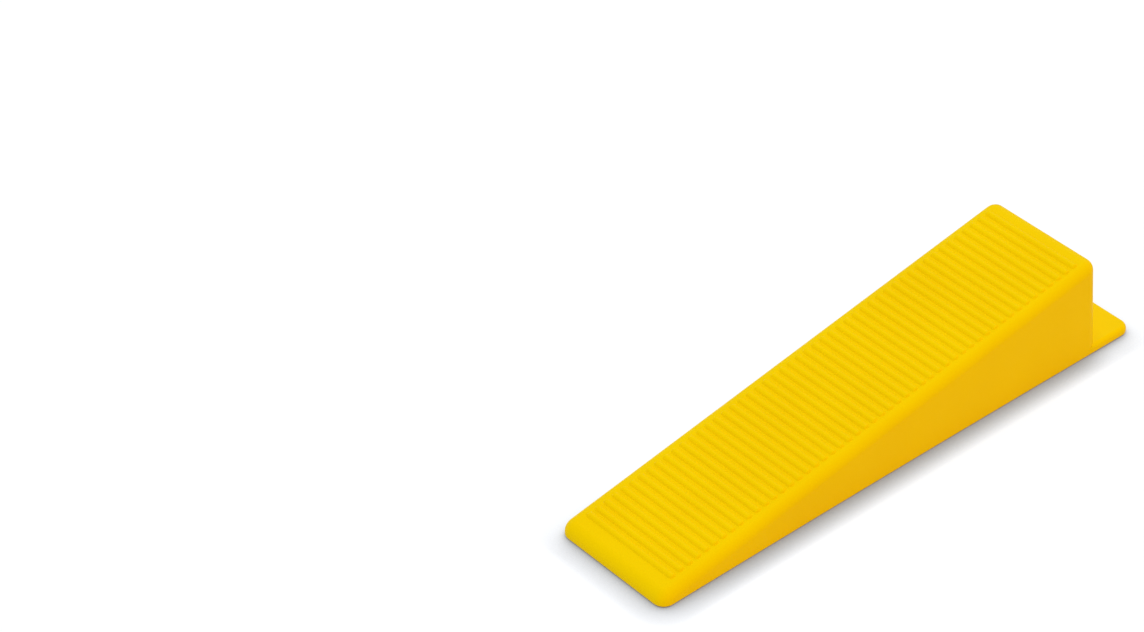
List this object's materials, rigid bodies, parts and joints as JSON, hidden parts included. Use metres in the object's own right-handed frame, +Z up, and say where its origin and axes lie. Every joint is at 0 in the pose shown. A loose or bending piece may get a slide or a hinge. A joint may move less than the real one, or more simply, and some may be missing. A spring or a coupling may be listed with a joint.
{
  "type": "tile levelling wedge",
  "caption": "Hollow moulded plastic wedge with a ridged sloping deck, drafted side walls, heel wall, centre rib, solid toe and flat tail tab, pushed through clips to level tiles.",
  "frame": {"origin": "middle of the overall length and width, on the plane of the rim that the wedge stands on", "axes": "+X from the toe to the tail tab, +Z up; the left side of someone who pushes at the heel is -Y"},
  "size_m": [0.093, 0.0224, 0.0168],
  "materials": {
    "yellow_plastic": "satin moulded polypropylene, dyed through"
  },
  "bodies": {
    "root": {"toe_nose": "yellow_plastic", "deck_plate": "yellow_plastic", "grip_ridges": "yellow_plastic", "left_side_wall": "yellow_plastic", "right_side_wall": "yellow_plastic", "centre_rib": "yellow_plastic", "heel_wall": "yellow_plastic", "tab_plate": "yellow_plastic", "tab_left_border": "yellow_plastic", "tab_right_border": "yellow_plastic", "tab_end_border": "yellow_plastic"}
  },
  "joints": []
}
